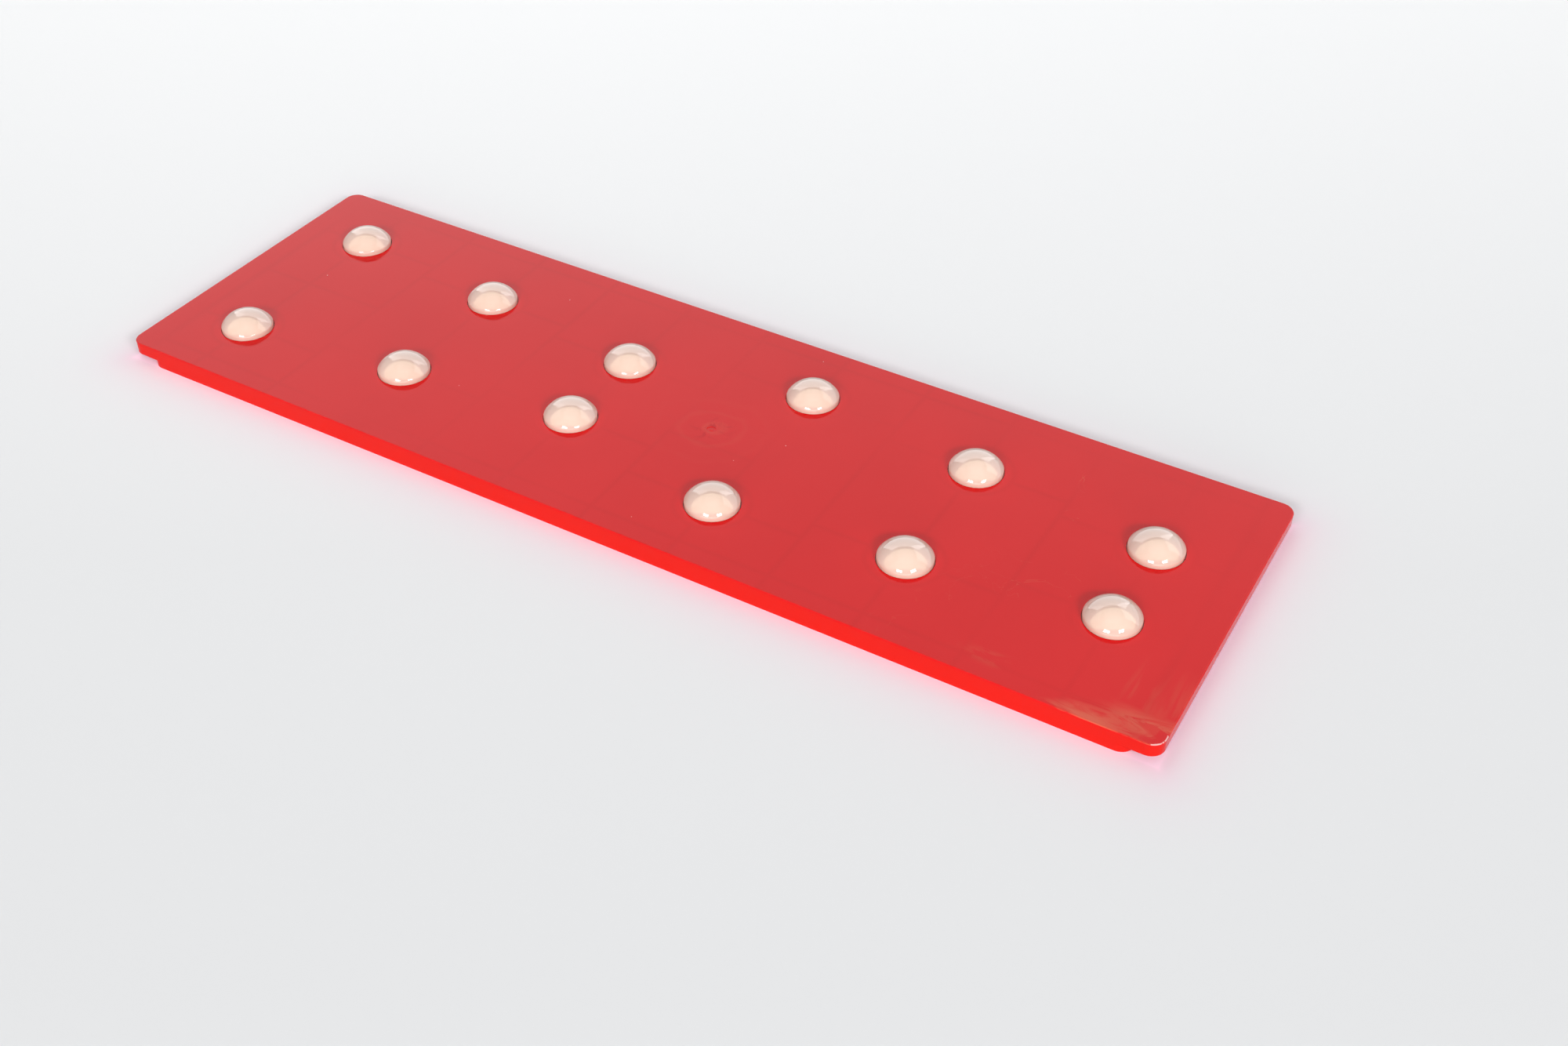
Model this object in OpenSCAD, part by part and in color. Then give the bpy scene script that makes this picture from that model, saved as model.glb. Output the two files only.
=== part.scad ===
// Domed stud board: a shallow ribbed moulding with two sets of three pairs of domes.
// Each dome is a flanged shell that comes up through a hole in the top plate from below.
// Under the plate a socket wall surrounds each hole, and a ring pressed into that socket
// holds the dome's flange against the plate. Millimetres, +Z up, origin at the centre of
// the underside. +X runs along the board and the board is symmetric about the XZ plane.

/* [Board] */
// Length of the board over its end lips
board_l = 600; // [500:1:800]
// Width of the board
board_w = 188; // [156:1:280]
// Height of the board from the floor to its top face
board_h = 11.5; // [9.5:0.1:20]
// Thickness of the top plate
plate_t = 3; // [2:0.1:3.6]
// Thickness of the side walls, end walls and lip skirts
wall_t = 2.5; // [1.5:0.1:3.5]
// Plan radius of the top plate's corners
corner_r = 7.25; // [4:0.25:16]
// Radius along the top edge
top_edge_r = 0.6; // [0.2:0.1:1.5]

/* [End lips] */
// Height of the lip that each end can be lifted by
lip_h = 7; // [5:0.1:9]
// Reach of each lip beyond the end wall below it
lip_reach = 13; // [8:0.5:25]
// Plan radius of the lower body's corners
lower_corner_r = 7.5; // [4:0.25:16]

/* [Ribs] */
// Thickness of the ribs under the plate
rib_t = 1.8; // [1.2:0.1:3]
// Gap between the floor and the bottom edge of the ribs and sockets
rib_gap = 1; // [0.4:0.1:1.5]
// Distance from the long edges to the rib that runs beside each
edge_rib_in = 11; // [7:0.5:14]
// Distance from the centre line to the two short ribs beside the gate
gate_rib_y = 12; // [8:0.5:18]

/* [Dome pattern] */
// Distance from the left end to the first pair's centres
left_margin = 46; // [42:0.5:70]
// Distance from the right end to the last pair's centres
right_margin = 49; // [42:0.5:70]
// Distance from the long edges to the centres of the widest pair
side_margin = 43; // [38:0.5:46]
// Distance between the centres of the narrowest pair
narrow_pair = 56; // [46:0.5:68]

/* [Domes] */
// Diameter of a dome where it leaves the top face
dome_d = 28.2; // [24:0.1:36]
// Height of a dome above the top face
dome_rise = 9.9; // [7:0.1:13]
// Height of the upright rim at the foot of a dome
dome_rim_h = 1.2; // [0.4:0.1:2]
// Radius of the rounded shoulder between that rim and the crown
dome_shoulder_r = 2.4; // [1:0.1:4]
// Wall thickness of a dome
dome_wall = 2; // [1.2:0.1:3]
// Width of the flange beyond the dome
flange_reach = 3.5; // [2:0.1:4]
// Thickness of the flange
flange_t = 2.2; // [1.5:0.1:2.7]
// Radial gap between a dome and its hole
hole_clearance = 0.35; // [0.2:0.05:1]
// Radial gap between a flange and its socket
socket_clearance = 0.3; // [0.1:0.05:0.6]
// Thickness of the socket walls
socket_wall = 2; // [1.2:0.1:3]

/* [Retaining rings] */
// Height of a retaining ring
ring_h = 2.4; // [1.5:0.1:2.8]
// Radial gap between a retaining ring and its socket, spanned by the crush ribs
ring_clearance = 0.25; // [0.1:0.05:0.5]
// Number of crush ribs round a ring
crush_ribs = 6; // [3:1:12]
// Width of a crush rib
crush_rib_w = 1.6; // [0.8:0.1:3]
// Number of pry notches in a ring's inner edge
pry_notches = 3; // [2:1:6]
// Width of a pry notch
pry_notch_w = 4; // [2:0.5:6]
// Depth of a pry notch
pry_notch_deep = 1.2; // [0.6:0.1:2]

/* [Gate] */
// Place of the moulding gate along the board
gate_x = 17; // [8:0.5:40]
// Diameter of the gate's recess
gate_d = 5; // [3:0.5:8]
// Depth of the gate's recess
gate_deep = 0.3; // [0.1:0.1:0.6]
// Diameter of the trimmed gate stub inside the recess
gate_stub_d = 1.8; // [1:0.1:2.6]

/* [Hidden] */
$fn = 96;
pairs_in_set = 3;
columns = 2 * pairs_in_set;
bite = 0.5;             // how far a rib runs into the plate or wall it joins

plate_z = board_h - plate_t;
lip_z = board_h - lip_h;
lower_l = board_l - 2 * lip_reach;
pitch = (board_l - left_margin - right_margin) / (columns - 1);
first_x = -board_l / 2 + left_margin;
wide_y = board_w / 2 - side_margin;
narrow_y = narrow_pair / 2;

dome_r = dome_d / 2;
rim_z = board_h + dome_rim_h;
crown_rise = dome_rise - dome_rim_h;
shoulder_x = dome_r - dome_shoulder_r;
// The crown is a round arc that runs over the axis and meets the shoulder with no corner
crown_r = (shoulder_x * shoulder_x + crown_rise * crown_rise - dome_shoulder_r * dome_shoulder_r)
    / (2 * (crown_rise - dome_shoulder_r));
crown_z = board_h + dome_rise - crown_r;
crown_end_x = crown_r * shoulder_x / (crown_r - dome_shoulder_r);
flange_r = dome_r + flange_reach;
flange_z = plate_z - flange_t;
socket_r = flange_r + socket_clearance;
ring_r = socket_r - ring_clearance;
ring_bore_r = dome_r;
ring_z = flange_z - ring_h;

rib_top = plate_z + bite;
inner_y = board_w / 2 - wall_t;
inner_x = lower_l / 2 - wall_t;

function column_x(i) = first_x + i * pitch;
function column_y(i) = wide_y - (wide_y - narrow_y) * (i % pairs_in_set) / (pairs_in_set - 1);

// [column, side] of every dome, back row first
SEATS = [for (side = [1, -1]) for (i = [0 : columns - 1]) [i, side]];
function seat_name(piece, seat) =
    str(piece, seat[1] > 0 ? "_back_" : "_front_", seat[0] + 1);

module at_seat(seat) {
    translate([column_x(seat[0]), seat[1] * column_y(seat[0]), 0]) children();
}

// Plan outline with rounded corners
module plan(l, w, r) {
    square([l - 2 * r, w], center = true);
    square([l, w - 2 * r], center = true);
    for (x = [-1, 1], y = [-1, 1])
        translate([x * (l / 2 - r), y * (w / 2 - r)]) circle(r);
}

module slab(l, w, r, z_low, z_high) {
    translate([0, 0, z_low]) linear_extrude(z_high - z_low) plan(l, w, r);
}

// Cross-section of a slab with a rounded top edge on both sides
module edged_section(w, h, e) {
    translate([-w / 2, 0]) square([w, h - e]);
    translate([e - w / 2, 0]) square([w - 2 * e, h]);
    for (side = [-1, 1]) translate([side * (w / 2 - e), h - e]) circle(e);
}

// The same slab with its top edge rounded all round
module edged_slab(l, w, r, h, e) {
    rotate([90, 0, 90])
        translate([0, 0, r - l / 2]) linear_extrude(l - 2 * r) edged_section(w, h, e);
    rotate([90, 0, 0])
        translate([0, 0, r - w / 2]) linear_extrude(w - 2 * r) edged_section(l, h, e);
    for (x = [-1, 1], y = [-1, 1])
        translate([x * (l / 2 - r), y * (w / 2 - r), 0])
            rotate_extrude() intersection() {
                edged_section(2 * r, h, e);
                square([r, h]);
            }
}

// The top plate with the skirt that hangs from its edge, open underneath
module top_shell() {
    difference() {
        translate([0, 0, lip_z]) edged_slab(board_l, board_w, corner_r, lip_h, top_edge_r);
        slab(board_l - 2 * wall_t, board_w - 2 * wall_t, corner_r - wall_t, lip_z - bite, plate_z);
    }
}

// The wall that the board stands on, set in under the lip at each end
module lower_wall() {
    difference() {
        slab(lower_l, board_w, lower_corner_r, 0, rib_top);
        slab(lower_l - 2 * wall_t, board_w - 2 * wall_t, lower_corner_r - wall_t, -bite, board_h);
    }
}

module rib_across(x) {
    translate([x - rib_t / 2, -inner_y - bite, rib_gap])
        cube([rib_t, 2 * (inner_y + bite), rib_top - rib_gap]);
}

module rib_along(x_from, x_to, y) {
    translate([x_from, y - rib_t / 2, rib_gap])
        cube([x_to - x_from, rib_t, rib_top - rib_gap]);
}

module ribs() {
    left_end = -inner_x - bite;
    right_end = inner_x + bite;
    middle = (columns - 1) / 2;
    for (half_step = [0 : 2 * (columns - 1)]) rib_across(column_x(half_step / 2));
    for (side = [-1, 1]) {
        rib_along(left_end, right_end, side * (board_w / 2 - edge_rib_in));
        rib_along(column_x(middle), column_x(middle + 0.5), side * gate_rib_y);
        for (i = [0 : columns - 1])
            rib_along(
                i == 0 ? left_end : column_x(i - 0.5),
                i == columns - 1 ? right_end : column_x(i + 0.5),
                side * column_y(i)
            );
    }
    rib_along(left_end, column_x(0.5), 0);
}

module gate_mark() {
    translate([gate_x, 0, board_h - gate_deep]) difference() {
        cylinder(h = 1, d = gate_d);
        translate([0, 0, -bite]) cylinder(h = bite + gate_deep / 2, d = gate_stub_d);
    }
}

module board() {
    color("firebrick") difference() {
        union() {
            top_shell();
            lower_wall();
            ribs();
            for (seat = SEATS) at_seat(seat)
                translate([0, 0, rib_gap])
                    cylinder(h = rib_top - rib_gap, r = socket_r + socket_wall);
        }
        for (seat = SEATS) at_seat(seat) {
            translate([0, 0, -bite]) cylinder(h = plate_z + bite, r = socket_r);
            cylinder(h = board_h + bite, r = dome_r + hole_clearance);
        }
        gate_mark();
    }
}

// Cap, neck and flange in one shell, hollow from below
module dome() {
    color("bisque") rotate_extrude() difference() {
        union() {
            intersection() {
                translate([0, crown_z]) circle(crown_r);
                translate([0, rim_z]) square([crown_end_x, dome_rise]);
            }
            intersection() {
                translate([shoulder_x, rim_z]) circle(dome_shoulder_r);
                translate([crown_end_x, rim_z]) square([dome_r, dome_rise]);
            }
            translate([0, flange_z]) square([dome_r, rim_z - flange_z]);
            translate([0, flange_z]) square([flange_r, flange_t]);
        }
        intersection() {
            translate([0, crown_z]) circle(crown_r - dome_wall);
            translate([0, flange_z]) square([dome_r - dome_wall, board_h + dome_rise]);
        }
        translate([-bite, flange_z - bite])
            square([dome_r - dome_wall + bite, rim_z - flange_z]);
    }
}

// Pressed into the socket from below: its crush ribs bear on the socket wall
module retaining_ring() {
    color("ivory") translate([0, 0, ring_z]) difference() {
        union() {
            cylinder(h = ring_h, r = ring_r);
            intersection() {
                cylinder(h = ring_h, r = socket_r);
                for (i = [0 : crush_ribs - 1])
                    rotate(i * 360 / crush_ribs)
                        translate([0, -crush_rib_w / 2, 0])
                            cube([socket_r + bite, crush_rib_w, ring_h]);
            }
        }
        translate([0, 0, -bite]) cylinder(h = ring_h + 2 * bite, r = ring_bore_r);
        for (i = [0 : pry_notches - 1])
            rotate((i + 0.5) * 360 / pry_notches)
                translate([0, -pry_notch_w / 2, -bite])
                    cube([ring_bore_r + pry_notch_deep, pry_notch_w, ring_h / 2 + bite]);
    }
}

board();
for (seat = SEATS) {
    at_seat(seat) dome();
    at_seat(seat) retaining_ring();
}
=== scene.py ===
import math

import bpy
from mathutils import Euler, Matrix, Vector


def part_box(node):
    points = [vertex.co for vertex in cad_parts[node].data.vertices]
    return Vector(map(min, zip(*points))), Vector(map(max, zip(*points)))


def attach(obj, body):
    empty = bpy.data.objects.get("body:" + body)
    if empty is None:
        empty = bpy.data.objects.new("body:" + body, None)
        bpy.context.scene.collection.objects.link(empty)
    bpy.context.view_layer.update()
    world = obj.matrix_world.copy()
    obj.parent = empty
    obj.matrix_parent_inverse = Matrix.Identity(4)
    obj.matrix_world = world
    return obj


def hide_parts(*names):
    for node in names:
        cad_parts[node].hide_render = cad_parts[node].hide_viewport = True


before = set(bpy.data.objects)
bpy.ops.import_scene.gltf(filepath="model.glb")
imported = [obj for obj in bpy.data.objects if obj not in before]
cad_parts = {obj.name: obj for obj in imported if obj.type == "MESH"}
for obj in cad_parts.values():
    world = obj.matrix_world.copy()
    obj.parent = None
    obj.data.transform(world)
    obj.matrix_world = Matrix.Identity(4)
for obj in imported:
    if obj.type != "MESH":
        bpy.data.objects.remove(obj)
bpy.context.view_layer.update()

# The view. The board is seen from above its right-hand front corner. Two soft lights stand left
# and right of the viewer, with a dimmer one overhead, a low glow in front and a weak wash on the
# far left. Four cards round the board show only as gloss on its plastic.
MM = 0.001
board_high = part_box("board")[1]
board_top = board_high.z
bpy.context.scene.view_settings.view_transform = "Standard"

sight_aim = Vector((0.087, -0.046, board_top))
sight_azimuth = math.radians(29.31)
sight_elevation = math.radians(40.13)
sight_roll = math.radians(0.866)
sight_distance = 0.8822
lens_length = 41.55
nearest_seen = 0.01


def towards(azimuth, elevation):
    """The direction from the aim to a place, with azimuth turned from -Y towards +X."""
    flat = math.cos(elevation)
    return Vector((math.sin(azimuth) * flat, -math.cos(azimuth) * flat, math.sin(elevation)))


bpy.ops.object.camera_add(
    location=sight_aim + towards(sight_azimuth, sight_elevation) * sight_distance
)
camera = bpy.context.object
facing = Euler((math.pi / 2 - sight_elevation, 0, sight_azimuth)).to_matrix()
camera.rotation_euler = (facing @ Matrix.Rotation(sight_roll, 3, "Z")).to_euler()
camera.data.lens = lens_length
camera.data.clip_start = nearest_seen
bpy.context.scene.camera = camera


def soft_light(name, azimuth, elevation, distance, width, height, power, colour):
    """A rectangular soft light that faces the board, placed in degrees and metres."""
    place = sight_aim + towards(math.radians(azimuth), math.radians(elevation)) * distance
    bpy.ops.object.light_add(type="AREA", location=place)
    light = bpy.context.object
    light.name = name
    light.rotation_euler = (place - sight_aim).to_track_quat("Z", "Y").to_euler()
    light.data.shape = "RECTANGLE"
    light.data.size = width
    light.data.size_y = height
    light.data.energy = power
    light.data.color = colour
    return light


cool_white = (0.98, 0.98, 1.0)
sky_white = (0.97, 0.985, 1.0)
warm_white = (1.0, 0.99, 0.98)
card_white = (1.0, 0.985, 0.995)
card_amber = (1.0, 0.86, 0.55)
soft_light("left_soft_light", 5, 31, 3.5, 1.15, 0.5, 54, cool_white)
soft_light("right_soft_light", 60, 31, 3.5, 1.0, 0.5, 62, cool_white)
soft_light("overhead_soft_light", 30, 86, 3.5, 3.2, 3.2, 17, sky_white)
soft_light("low_front_glow", 20, 8, 3.5, 4.0, 1.1, 48, warm_white)
soft_light("far_left_wash", -110, 66, 1.4, 0.8, 0.8, 2.5, warm_white).visible_glossy = False
gloss_cards = (
    ("back_card", 209, 30, 2.6, 4.2, 2.6, 104, card_white),
    ("back_left_card", 273, 30, 2.6, 2.6, 2.6, 16, card_white),
    ("back_right_card", 145, 30, 2.6, 2.6, 2.6, 45, card_white),
    ("ceiling_card", 29, 77, 2.6, 18.0, 3.9, 680, card_amber),
)
for settings in gloss_cards:
    card = soft_light(*settings)
    card.visible_diffuse = False
    card.visible_camera = False

room = bpy.data.worlds.new("room")
bpy.context.scene.world = room
room.use_nodes = True
room_light = room.node_tree.nodes["Background"]
room_light.inputs["Color"].default_value = (0.91, 0.96, 1.0, 1.0)
room_light.inputs["Strength"].default_value = 0.30


# The moulded board. It is one injection moulding in red plastic: a top plate with a skirt,
# lower walls set in under a finger lip at each end, and ribs and round sockets underneath.
# Its edges are broken by a small radius, as the mould's are.
def pick(piece):
    """Makes this piece the only one selected, and the active one."""
    bpy.ops.object.select_all(action="DESELECT")
    piece.select_set(True)
    bpy.context.view_layer.objects.active = piece


def finish_with(piece, modifier_type, **settings):
    """Adds one modifier with these settings and applies it."""
    pick(piece)
    bpy.ops.object.modifier_add(type=modifier_type)
    modifier = piece.modifiers[-1]
    for key, value in settings.items():
        setattr(modifier, key, value)
    bpy.ops.object.modifier_apply(modifier=modifier.name)


edge_steps = 2
edge_sharp_over = math.radians(32)
crease_over = math.radians(45)
face_weight = 80


def break_edges(piece, radius):
    """Rounds every sharp edge of a solid and shades it smooth."""
    finish_with(
        piece, "BEVEL", width=radius, segments=edge_steps, limit_method="ANGLE",
        angle_limit=edge_sharp_over, miter_outer="MITER_ARC", use_clamp_overlap=True,
        harden_normals=False,
    )
    pick(piece)
    bpy.ops.object.shade_smooth_by_angle(angle=crease_over)
    finish_with(piece, "WEIGHTED_NORMAL", keep_sharp=True, weight=face_weight)


weld_gap = 0.002 * MM
flat_within = math.radians(0.5)


def moulded_copy(node, name):
    """A welded copy of a CAD node, with its flat faces whole again."""
    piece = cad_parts[node].copy()
    piece.data = piece.data.copy()
    piece.name = name
    piece.data.name = name
    piece.parent = None
    for tag in list(piece.keys()):
        del piece[tag]
    bpy.context.scene.collection.objects.link(piece)
    pick(piece)
    bpy.ops.object.mode_set(mode="EDIT")
    bpy.ops.mesh.select_all(action="SELECT")
    bpy.ops.mesh.remove_doubles(threshold=weld_gap)
    bpy.ops.mesh.dissolve_limited(angle_limit=flat_within)
    bpy.ops.mesh.select_all(action="SELECT")
    bpy.ops.mesh.vert_connect_concave()
    bpy.ops.object.mode_set(mode="OBJECT")
    piece.data.materials.clear()
    return piece


class Shade:
    """A number that varies over a surface, worked out by Math nodes in one node tree."""

    def __init__(self, tree, socket):
        self.tree = tree
        self.socket = socket

    def calc(self, operation, *others):
        node = self.tree.nodes.new("ShaderNodeMath")
        node.operation = operation
        for at, value in zip(node.inputs, (self, *others)):
            if isinstance(value, Shade):
                self.tree.links.new(value.socket, at)
            else:
                at.default_value = value
        return Shade(self.tree, node.outputs[0])

    def __add__(self, other):
        return self.calc("ADD", other)

    def __sub__(self, other):
        return self.calc("SUBTRACT", other)

    def __mul__(self, other):
        return self.calc("MULTIPLY", other)

    def __truediv__(self, other):
        return self.calc("DIVIDE", other)

    def __abs__(self):
        return self.calc("ABSOLUTE")

    def over(self, other):
        return self.calc("GREATER_THAN", other)

    def under(self, other):
        return self.calc("LESS_THAN", other)

    def most(self, other):
        return self.calc("MAXIMUM", other)

    def least(self, other):
        return self.calc("MINIMUM", other)

    def ramp(self, start, end):
        """0 up to start, 1 from end, and a straight line between."""
        return ((self - start) / (end - start)).most(0.0).least(1.0)

    def fade(self, start, end):
        """0 up to start, 1 from end, and a smooth step between."""
        node = self.tree.nodes.new("ShaderNodeMapRange")
        node.interpolation_type = "SMOOTHSTEP"
        self.tree.links.new(self.socket, node.inputs["Value"])
        node.inputs["From Min"].default_value = start
        node.inputs["From Max"].default_value = end
        return Shade(self.tree, node.outputs["Result"])


def place_mm(tree):
    """X, Y and Z of a point on the piece, in millimetres, and the vector itself in metres."""
    where = tree.nodes.new("ShaderNodeTexCoord").outputs["Object"]
    split = tree.nodes.new("ShaderNodeSeparateXYZ")
    tree.links.new(where, split.inputs[0])
    return [Shade(tree, out) / MM for out in split.outputs], where


def noise(tree, where, scale, detail=2.0, rough=0.5, stretch=(1, 1, 1), distortion=0.0):
    """Noise of about one blotch per 1/scale metres, stretched along the axes."""
    spread = tree.nodes.new("ShaderNodeMapping")
    spread.inputs["Scale"].default_value = stretch
    tree.links.new(where, spread.inputs["Vector"])
    cloud = tree.nodes.new("ShaderNodeTexNoise")
    tree.links.new(spread.outputs[0], cloud.inputs["Vector"])
    cloud.inputs["Scale"].default_value = scale
    cloud.inputs["Detail"].default_value = detail
    cloud.inputs["Roughness"].default_value = rough
    cloud.inputs["Distortion"].default_value = distortion
    return Shade(tree, cloud.outputs["Fac"])


def tint(tree, amount, colour_from, colour_to):
    """A colour between two others. Each is a colour, or the socket of a colour or a grey."""
    mix = tree.nodes.new("ShaderNodeMix")
    mix.data_type = "RGBA"
    mix.clamp_factor = True
    tree.links.new(amount.socket, mix.inputs["Factor"])
    for at, colour in ((mix.inputs["A"], colour_from), (mix.inputs["B"], colour_to)):
        if isinstance(colour, bpy.types.NodeSocket):
            tree.links.new(colour, at)
        else:
            at.default_value = (*colour, 1.0)
    return mix.outputs["Result"]


def new_finish(name, gloss_ior):
    """A material with one shader, and the sockets that its pattern feeds."""
    material = bpy.data.materials.new(name)
    material.use_nodes = True
    shader = material.node_tree.nodes["Principled BSDF"]
    shader.inputs["IOR"].default_value = gloss_ior
    return material, material.node_tree, shader


def relief(tree, shader, height_mm):
    """Feeds a height in millimetres to the shader's normal."""
    bump = tree.nodes.new("ShaderNodeBump")
    bump.inputs["Strength"].default_value = 1.0
    bump.inputs["Distance"].default_value = MM
    tree.links.new(height_mm.socket, bump.inputs["Height"])
    tree.links.new(bump.outputs[0], shader.inputs["Normal"])


cloud_scale = 14.0
dust_patch_scale = 37.0
dust_from = 0.62
speck_r = 0.016


def skin_group():
    """The skin of moulded plastic: its fine grain, slow cloudiness and specks of dust."""
    group = bpy.data.node_groups.new("moulded_skin", "ShaderNodeTree")
    for socket, value in (("Grain mm", 0.4), ("Grain Height mm", 0.002), ("Specks per m", 90.0)):
        made = group.interface.new_socket(socket, in_out="INPUT", socket_type="NodeSocketFloat")
        made.default_value = value
    for socket in ("Height", "Cloud", "Specks"):
        group.interface.new_socket(socket, in_out="OUTPUT", socket_type="NodeSocketFloat")
    given = group.nodes.new("NodeGroupInput")
    out = group.nodes.new("NodeGroupOutput")
    where = group.nodes.new("ShaderNodeTexCoord").outputs["Object"]
    grain = noise(group, where, 1.0, detail=3.0, rough=0.6)
    grain_scale = Shade(group, given.outputs["Grain mm"]).calc("POWER", -1.0) / MM
    group.links.new(grain_scale.socket, grain.socket.node.inputs["Scale"])
    height = (grain - 0.5) * Shade(group, given.outputs["Grain Height mm"])
    cloud = noise(group, where, cloud_scale, detail=4.0)
    dots = group.nodes.new("ShaderNodeTexVoronoi")
    group.links.new(where, dots.inputs["Vector"])
    group.links.new(given.outputs["Specks per m"], dots.inputs["Scale"])
    dot = Shade(group, dots.outputs["Distance"])
    lone = noise(group, where, dust_patch_scale, detail=1.0).over(dust_from)
    specks = dot.under(speck_r) * lone
    for socket, value in (("Height", height), ("Cloud", cloud), ("Specks", specks)):
        group.links.new(value.socket, out.inputs[socket])
    return group


moulded_skin = skin_group()


def skin_of(tree, **settings):
    """Places the moulded skin in a material with its own values."""
    placed = tree.nodes.new("ShaderNodeGroup")
    placed.node_tree = moulded_skin
    for socket, value in settings.items():
        placed.inputs[socket.replace("_", " ")].default_value = value
    return {out.name: Shade(tree, out) for out in placed.outputs}


def seat_of(node):
    """The centre of a dome's seat, in millimetres."""
    low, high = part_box(node)
    return (low + high) / 2 / MM


seats_in_set = 3
seats_in_row = 6
first_seat = seat_of("dome_back_1")
last_seat = seat_of(f"dome_back_{seats_in_row}")
seat_pitch = (last_seat.x - first_seat.x) / (seats_in_row - 1)
seat_step = first_seat.y - seat_of("dome_back_2").y
half_length = board_high.x / MM
half_width = board_high.y / MM
top_mm = board_top / MM
plate_t = 3
plate_bottom = board_top - plate_t * MM
skirt_t = 2.6
corner_r = 7.25
board_edge_r = 0.22 * MM
edge_rib_in = 11
end_wall_in = 14.2
socket_wall_r = 19.4
gate_x = 17
gate_rib_y = 12
rib_mark_w = 1.5
end_mark_w = 2.4


def sink_marks(tree, x, y):
    """1 along the lines where a rib or a socket wall stands under the plate, 0 elsewhere."""

    def line(distance, width=rib_mark_w):
        away = distance / width
        return (away * away * -1.0).calc("EXPONENT")

    along = x - first_seat.x
    side = abs(y)
    column = (along / seat_pitch + 0.5).calc("FLOOR")
    seat_y = column.calc("FLOORED_MODULO", seats_in_set) * -seat_step + first_seat.y
    from_seat_x = along - column * seat_pitch
    from_seat_y = side - seat_y
    from_seat = (from_seat_x * from_seat_x + from_seat_y * from_seat_y).calc("SQRT")
    across = line(along.calc("PINGPONG", seat_pitch / 4))
    lengthwise = line(abs(from_seat_y))
    edge_ribs = line(abs(side - (half_width - edge_rib_in)))
    centre_rib = line(side) * x.under(first_seat.x + seat_pitch / 2)
    middle_x = (first_seat.x + last_seat.x) / 2
    gate_ribs = line(abs(side - gate_rib_y)) * x.over(middle_x) * x.under(middle_x + seat_pitch / 2)
    ribs = across.most(lengthwise).most(edge_ribs).most(centre_rib).most(gate_ribs)
    inside_walls = abs(x).under(half_length - end_wall_in)
    ribs = ribs * from_seat.over(socket_wall_r) * inside_walls
    end_walls = line(abs(abs(x) - (half_length - end_wall_in)), end_mark_w)
    sockets = line(abs(from_seat - socket_wall_r))
    return ribs.most(sockets).most(end_walls)


board_red = (0.63, 0.008, 0.009)
board_red_deep = (0.605, 0.007, 0.008)
# painted shade: the darker red painted along the sink lines over the ribs
sink_shade_red = (0.47, 0.006, 0.005)
gate_red = (0.50, 0.002, 0.004)
# painted light: the more orange red that the walls below the top are given
painted_wall_light_red = (0.63, 0.015, 0.005)
scuffed_red = (0.62, 0.13, 0.07)
worn_white = (0.85, 0.74, 0.70)

# lengths and heights are in millimetres, and tints are shares of the second colour
top_within = 0.4
wall_light_by = 1.5
grain_depth = 0.003
sink_depth = 0.018
sink_shade_tint = 0.18
flow_ring_depth = 0.012
wave_depth = 0.05
flow_ring_pitch = 2.1
flow_ring_reach = 16.0
flow_wander = 26.0
flow_ring_tint = 0.13
flow_tint = 0.35
blush_r = (2.5, 14.0)
blush_tint = 0.95
wall_light_tint = 0.5
pin_r = 3.0
pin_edge_w = 0.35
pin_edge_depth = 0.06
pin_height = 0.03
pin_row_y = 42.0
pin_rows_apart = 28.0
spark_depth = 0.02
spark_roughness = 0.22
smear_x = (190, 225)
smear_y = (73, 85)
smear_tint = 0.72
end_smear_x = (262, 276)
end_smear_y = (38, 70)
end_smear_tint = 0.16
scratch_x = (120, 290)
scratch_w = 0.0022
scratch_tint = 0.35
chip_in = 0.75
chip_ragged = 0.7
chip_depth = 0.25
chip_from = 2.0
chip_tint = 0.7
speck_tint = 0.8


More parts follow.
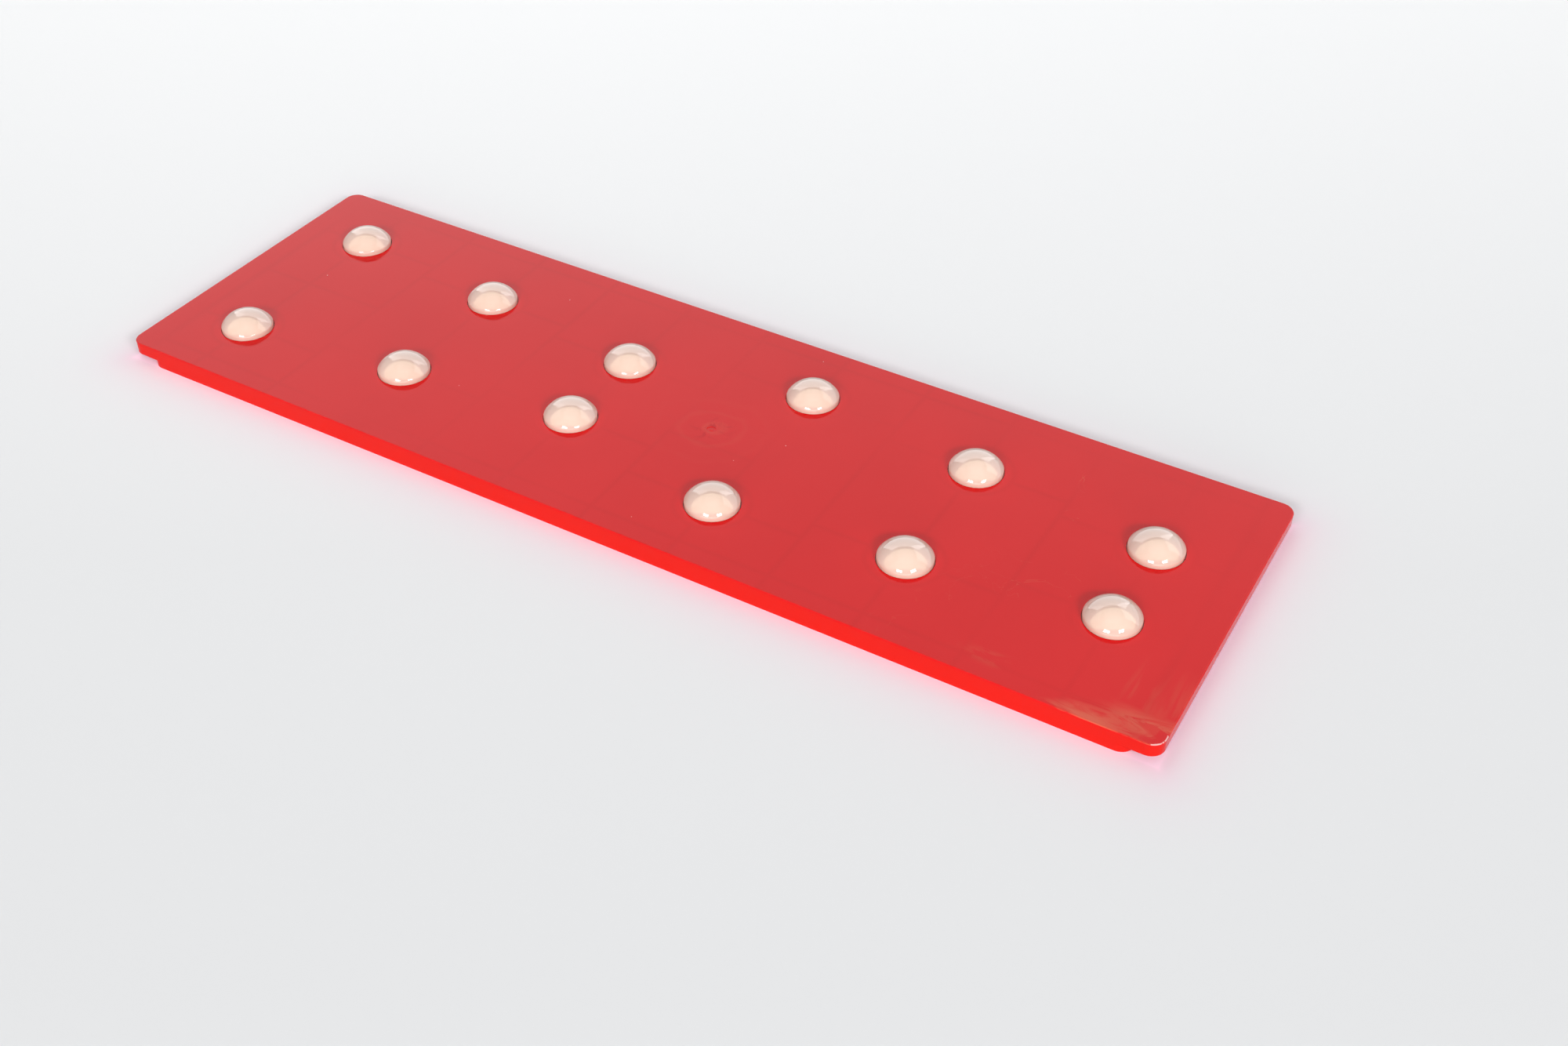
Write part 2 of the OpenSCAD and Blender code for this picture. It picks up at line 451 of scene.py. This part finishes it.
def board_finish():
    """Satin red plastic with sink marks, flow rings round the gate, smears and scratches.

    The sink lines carry painted shade, and the walls below the top carry painted light.
    """
    material, tree, shader = new_finish("moulded_red_plastic", 1.18)
    (x, y, z), where = place_mm(tree)
    front = y * -1.0
    skin = skin_of(tree, Grain_mm=0.55, Grain_Height_mm=grain_depth, Specks_per_m=70.0)
    on_top = z.over(top_mm - top_within)
    # painted light: how far down the walls the more orange red comes in
    below = (z * -1.0).fade(top_within - top_mm, wall_light_by - top_mm)

    # sink marks over the ribs, and the rings and blush that the melt leaves round the gate
    mark_patches = noise(tree, where, 9.0).fade(0.35, 0.6) * 0.8 + 0.2
    marks = sink_marks(tree, x, y) * mark_patches * on_top
    from_gate = ((x - gate_x) * (x - gate_x) + y * y).calc("SQRT")
    wander_noise = noise(tree, where, 38.0, detail=4.0, stretch=(0.7, 1, 1))
    wander = wander_noise * flow_wander - flow_wander / 2
    flow_rings = ((from_gate + wander) / flow_ring_pitch).calc("SINE")
    flow_rings = flow_rings * (from_gate / -flow_ring_reach).calc("EXPONENT")
    flare = noise(tree, where, 120.0, detail=3.0, rough=0.6, distortion=1.0).fade(0.42, 0.62)
    blush = (from_gate + wander * 0.5).fade(*blush_r) * -1.0 + 1.0
    flow = noise(tree, where, 8.0, detail=3.0, stretch=(0.6, 1, 1), distortion=1.4)
    slow_wave = noise(tree, where, 26.0, detail=1.0, stretch=(0.5, 1, 1))
    height = skin["Height"] + marks * -sink_depth
    height = height + flow_rings * on_top * flow_ring_depth + slow_wave * wave_depth

    # inside the skirt the mould is only sparked, and the ejector pins leave round marks
    within = abs(x).under(half_length - skirt_t) * abs(y).under(half_width - skirt_t)
    underneath = within * z.under(plate_bottom / MM + 0.1)
    pin_x = (x - first_seat.x + seat_pitch / 4).calc("PINGPONG", seat_pitch / 4) - seat_pitch / 8
    pin_y = (abs(y) - pin_row_y).calc("PINGPONG", pin_rows_apart) - pin_rows_apart / 2
    from_pin = (pin_x * pin_x + pin_y * pin_y).calc("SQRT")
    pin_edge = abs(from_pin - pin_r).fade(pin_edge_w, 0.0)
    pin_relief = pin_edge * -pin_edge_depth + from_pin.under(pin_r) * pin_height
    spark = (noise(tree, where, 900.0, detail=2.0) - 0.5) * spark_depth
    height = height + underneath * (pin_relief + spark)

    # hand smears near the right-hand front corner, drawn out along the edge and the end
    drag = noise(tree, where, 70.0, detail=5.0, rough=0.62, stretch=(0.4, 1.7, 1), distortion=1.1)
    patch = noise(tree, where, 24.0, detail=1.0, stretch=(0.8, 1, 1)).fade(0.42, 0.56)
    edge_band = front.fade(*smear_y) * x.fade(*smear_x)
    smear = drag.fade(0.44, 0.58) * patch * edge_band * on_top
    end_drag = noise(tree, where, 40.0, detail=4.0, stretch=(2.6, 0.35, 1), distortion=0.7)
    end_band = x.fade(*end_smear_x) * front.fade(*end_smear_y)
    end_smear = end_drag.fade(0.5, 0.62) * end_band * on_top

    # hair scratches, a few over the board and more near the right-hand end
    hair = abs(noise(tree, where, 24.0, detail=5.0, rough=0.45, distortion=2.2) - 0.5)
    patchy = noise(tree, where, 16.0, detail=1.0).over(0.6)
    scratch = hair.under(scratch_w) * patchy * x.fade(*scratch_x) * on_top

    # a ragged chip along the top edge of the right-hand front corner
    from_corner_x = x - (half_length - corner_r)
    from_corner_y = y + (half_width - corner_r)
    from_corner = (from_corner_x * from_corner_x + from_corner_y * from_corner_y).calc("SQRT")
    on_corner = from_corner_x.over(chip_from) * front.over(half_width - corner_r - chip_from)
    ragged = noise(tree, where, 420.0, detail=3.0) * chip_ragged
    chip = (from_corner - (corner_r - chip_in) + ragged).over(0.5) * z.over(top_mm - chip_depth)
    chip = chip * on_corner * noise(tree, where, 640.0, detail=2.0).over(0.46)

    ring_tint = (flow_rings * 0.5).fade(0.0, 0.5) * on_top * flow_ring_tint
    scuffs = (smear * smear_tint).most(end_smear * end_smear_tint).most(scratch * scratch_tint)
    colour = tint(tree, skin["Cloud"].fade(0.35, 0.7), board_red, board_red_deep)
    colour = tint(tree, flow.fade(0.3, 0.7) * flow_tint, colour, board_red_deep)
    # painted shade: the sink lines are painted a darker red, for the dips over the ribs
    colour = tint(tree, marks * sink_shade_tint, colour, sink_shade_red)
    colour = tint(tree, ring_tint, colour, scuffed_red)
    colour = tint(tree, blush * flare * on_top * blush_tint, colour, gate_red)
    # painted light: the walls below the top are painted a more orange red than the top
    colour = tint(tree, below * wall_light_tint, colour, painted_wall_light_red)
    colour = tint(tree, scuffs, colour, scuffed_red)
    white_marks = (skin["Specks"] * on_top).most(chip * chip_tint) * speck_tint
    colour = tint(tree, white_marks, colour, worn_white)
    tree.links.new(colour, shader.inputs["Base Color"])
    roughness = skin["Cloud"] * 0.02 + 0.03 + smear * 0.06 + end_smear * 0.05 + scratch * 0.2
    roughness = roughness + underneath * spark_roughness
    tree.links.new(roughness.socket, shader.inputs["Roughness"])
    relief(tree, shader, height)
    return material


board = moulded_copy("board", "moulded_board")
break_edges(board, board_edge_r)
board.data.materials.append(board_finish())
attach(board, "root")
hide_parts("board")


# The paper sweep. The board lies on a plain pale sheet, painted a little lighter towards the back
# and glowing there, as painted light. Beside the board the paper is painted pink, as painted bounce
# light from the red plastic, and right at its foot it glows violet, as painted light in the shadow
# under its lips.
sweep_size = 12
# painted bounce light: pink on the paper beside the board, and a violet glow right at its foot
painted_pink_bounce = (0.80, 0.40, 0.58)
painted_violet_glow = (0.60, 0.36, 0.47)
pink_reach = 12.0
pink_strength = 0.46
violet_reach = 1.6
violet_strength = 0.30
# painted light: where the paper grows lighter and glows towards the back, and by how much
tone_span = (-0.35, 0.75)
near_tone = 0.70
far_tone = 0.96
glow_span = (-0.1, 0.9)
far_painted_glow = 0.19


def paper_finish():
    """Matt pale paper with painted light: lighter and glowing towards the back, pink bounce light
    from the red board beside it, and a violet glow at its foot.
    """
    material, tree, shader = new_finish("pale_paper", 1.5)
    (x, y, _), where = place_mm(tree)
    turn = tree.nodes.new("ShaderNodeVectorRotate")
    turn.rotation_type = "Z_AXIS"
    turn.inputs["Angle"].default_value = -sight_azimuth
    tree.links.new(where, turn.inputs["Vector"])
    split = tree.nodes.new("ShaderNodeSeparateXYZ")
    tree.links.new(turn.outputs[0], split.inputs[0])
    depth = Shade(tree, split.outputs["Y"])
    # painted light: the paper is painted lighter towards the back, and glows there although it is
    # no lamp
    painted_light_tone = depth.ramp(*tone_span) * (far_tone - near_tone) + near_tone
    glow = depth.ramp(*glow_span) * far_painted_glow
    beside = (abs(x) - half_length).most(0.0)
    before = (abs(y) - half_width).most(0.0)
    away = (beside * beside + before * before).calc("SQRT")
    # painted bounce light from the red board: pink on the paper beside it, and a violet glow in the
    # shadow at its foot
    pink = (away / -pink_reach).calc("EXPONENT") * pink_strength
    violet = (away / -violet_reach).calc("EXPONENT") * violet_strength
    tree.links.new(tint(tree, pink, painted_light_tone.socket, painted_pink_bounce), shader.inputs["Base Color"])
    tree.links.new(tint(tree, violet, glow.socket, painted_violet_glow), shader.inputs["Emission Color"])
    shader.inputs["Emission Strength"].default_value = 1.0
    shader.inputs["Roughness"].default_value = 0.85
    shader.inputs["Specular IOR Level"].default_value = 0.2
    return material


bpy.ops.mesh.primitive_plane_add(size=sweep_size, location=(0, 0, 0))
sweep = bpy.context.object
sweep.name = "paper_sweep"
sweep.data.materials.append(paper_finish())


# The domes. Each is a thin cream shell in high-gloss plastic: a round cap on a short neck, with
# a flange below. It is pushed up through its hole from underneath until the flange meets the plate.
dome_low, dome_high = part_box("dome_back_1")
flange_r = (dome_high.x - dome_low.x) / 2
flange_bottom = dome_low.z
flange_reach = 3.5 * MM
neck_r = flange_r - flange_reach
dome_wall = 2 * MM
dome_edge_r = 0.2 * MM
rim_h = 1.2 * MM
rim_top = board_top + rim_h
shoulder_r = 2.4 * MM
shoulder_x = neck_r - shoulder_r
crown_rise = dome_high.z - rim_top
crown_r = (shoulder_x**2 + crown_rise**2 - shoulder_r**2) / (2 * (crown_rise - shoulder_r))
crown_centre = dome_high.z - crown_r
crown_end = crown_r * shoulder_x / (crown_r - shoulder_r)
crown_steps = 60
shoulder_steps = 12
lathe_steps = 128
dome_weld_gap = 0.005 * MM


def swing(angle, centre, steps):
    """Carries the profile's free end round a centre in the XZ plane, from +Z towards +X."""
    bpy.ops.mesh.spin(steps=steps, angle=-angle, center=centre, axis=(0, 1, 0))


def run(x, z):
    """Carries the profile's free end along a straight line."""
    bpy.ops.mesh.extrude_region_move(TRANSFORM_OT_translate={"value": (x, 0, z)})


def turned_dome():
    """The dome's wall as a profile, turned round its axis into a closed shell."""
    crown_angle = math.asin(crown_end / crown_r)
    inner_crown_r = crown_r - dome_wall
    inner_r = neck_r - dome_wall
    inner_angle = math.asin(inner_r / inner_crown_r)
    inner_top = crown_centre + inner_crown_r * math.cos(inner_angle)
    bpy.ops.object.select_all(action="DESELECT")
    bpy.ops.mesh.primitive_plane_add(size=MM, location=(0, 0, 0))
    dome = bpy.context.object
    bpy.ops.object.mode_set(mode="EDIT")
    bpy.ops.mesh.select_all(action="SELECT")
    bpy.ops.mesh.merge(type="CENTER")
    bpy.ops.transform.translate(value=(0, 0, dome_high.z))
    swing(crown_angle, (0, 0, crown_centre), crown_steps)
    swing(math.pi / 2 - crown_angle, (shoulder_x, 0, rim_top), shoulder_steps)
    run(0, plate_bottom - rim_top)
    run(flange_r - neck_r, 0)
    run(0, flange_bottom - plate_bottom)
    run(inner_r - flange_r, 0)
    run(0, inner_top - flange_bottom)
    swing(-inner_angle, (0, 0, crown_centre), crown_steps)
    bpy.ops.mesh.select_all(action="SELECT")
    bpy.ops.mesh.spin(steps=lathe_steps, angle=2 * math.pi, center=(0, 0, 0), axis=(0, 0, 1))
    bpy.ops.mesh.select_all(action="SELECT")
    bpy.ops.mesh.remove_doubles(threshold=dome_weld_gap)
    bpy.ops.mesh.normals_make_consistent(inside=False)
    bpy.ops.object.mode_set(mode="OBJECT")
    return dome


dome_cream = (0.655, 0.472, 0.39)
dome_cream_deep = (0.63, 0.447, 0.365)
# a dull brown, used as painted shade at the foot of the cap and as the colour of dust specks
grime_and_shade_brown = (0.50, 0.33, 0.24)
foot_shade_above = 0.25
foot_shade_below = 0.3
foot_shade_tint = 0.6
dust_tint = 0.35


def dome_finish():
    """Glossy cream plastic, a little cloudy, with painted shade in a patchy brown at the foot of
    the cap.
    """
    material, tree, shader = new_finish("glossy_cream_plastic", 1.5)
    (x, y, z), where = place_mm(tree)
    skin = skin_of(tree, Grain_mm=1.3, Grain_Height_mm=0.0012, Specks_per_m=160.0)
    # painted shade: the foot of the cap is painted a patchy brown, for the dark gap round the dome
    foot = (z * -1.0).fade(-top_mm - foot_shade_above, -top_mm + foot_shade_below)
    colour = tint(tree, skin["Cloud"].fade(0.3, 0.75), dome_cream, dome_cream_deep)
    painted_foot_shade = foot * noise(tree, where, 300.0).fade(0.3, 0.7)
    colour = tint(tree, painted_foot_shade * foot_shade_tint, colour, grime_and_shade_brown)
    colour = tint(tree, skin["Specks"] * dust_tint, colour, grime_and_shade_brown)
    tree.links.new(colour, shader.inputs["Base Color"])
    roughness = skin["Cloud"] * 0.01 + 0.005 + foot * 0.2
    tree.links.new(roughness.socket, shader.inputs["Roughness"])
    relief(tree, shader, skin["Height"])
    return material


dome_pattern = turned_dome()
break_edges(dome_pattern, dome_edge_r)
cream = dome_finish()
seats = [f"{row}_{column + 1}" for row in ("back", "front") for column in range(seats_in_row)]
for seat in seats:
    dome = dome_pattern.copy()
    dome.data = dome_pattern.data.copy()
    dome.name = dome.data.name = f"domed_stud_{seat}"
    bpy.context.scene.collection.objects.link(dome)
    centre = seat_of(f"dome_{seat}") * MM
    dome.data.transform(Matrix.Translation((centre.x, centre.y, 0)))
    dome.data.materials.clear()
    dome.data.materials.append(cream)
    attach(dome, "root")
    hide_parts(f"dome_{seat}")
bpy.data.objects.remove(dome_pattern)


# The retaining rings. Each is a small uncoloured plastic ring, pressed into the socket under a
# dome until it holds the flange up. Crush ribs grip the socket, and notches let it be pried out.
ring_edge_r = 0.15 * MM
ring_natural = (0.74, 0.70, 0.61)
ring_shadow = (0.60, 0.55, 0.46)


def ring_finish():
    """Matt uncoloured plastic as it leaves the mould."""
    material, tree, shader = new_finish("uncoloured_plastic", 1.45)
    skin = skin_of(tree, Grain_mm=0.35, Grain_Height_mm=0.006, Specks_per_m=120.0)
    colour = tint(tree, skin["Cloud"].fade(0.3, 0.7), ring_natural, ring_shadow)
    colour = tint(tree, skin["Specks"] * 0.5, colour, grime_and_shade_brown)
    tree.links.new(colour, shader.inputs["Base Color"])
    roughness = skin["Cloud"] * 0.15 + 0.42
    tree.links.new(roughness.socket, shader.inputs["Roughness"])
    relief(tree, shader, skin["Height"])
    return material


uncoloured = ring_finish()
for seat in seats:
    ring = moulded_copy(f"retaining_ring_{seat}", f"press_ring_{seat}")
    break_edges(ring, ring_edge_r)
    ring.data.materials.append(uncoloured)
    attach(ring, "root")
    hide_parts(f"retaining_ring_{seat}")
